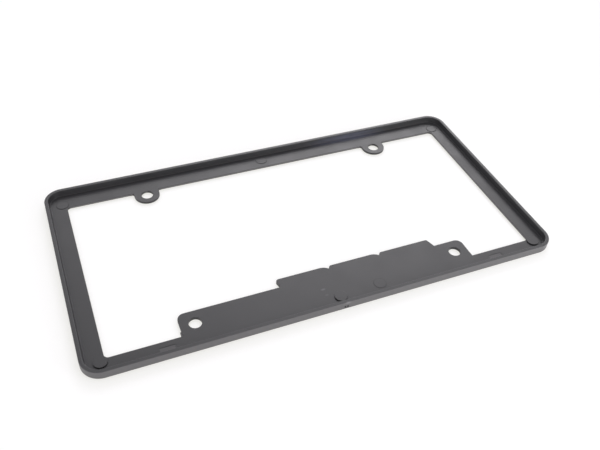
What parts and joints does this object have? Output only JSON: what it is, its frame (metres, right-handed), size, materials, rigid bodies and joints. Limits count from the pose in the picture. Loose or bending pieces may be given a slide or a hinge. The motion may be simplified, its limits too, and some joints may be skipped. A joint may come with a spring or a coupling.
{
  "type": "number plate frame",
  "caption": "One-piece moulded frame that borders a number plate, with a rim round a flat ledge, ears and a stepped panel with screw holes.",
  "frame": {"origin": "middle of the front face, on the surface that the frame lies on", "axes": "+X along the plate, +Y towards the plate's top edge, +Z from the front face to the side that the plate lies on"},
  "size_m": [0.313, 0.16, 0.0062],
  "materials": {
    "moulded_black": "satin black moulded plastic"
  },
  "bodies": {
    "root": {"plate_frame": "moulded_black"}
  },
  "joints": []
}
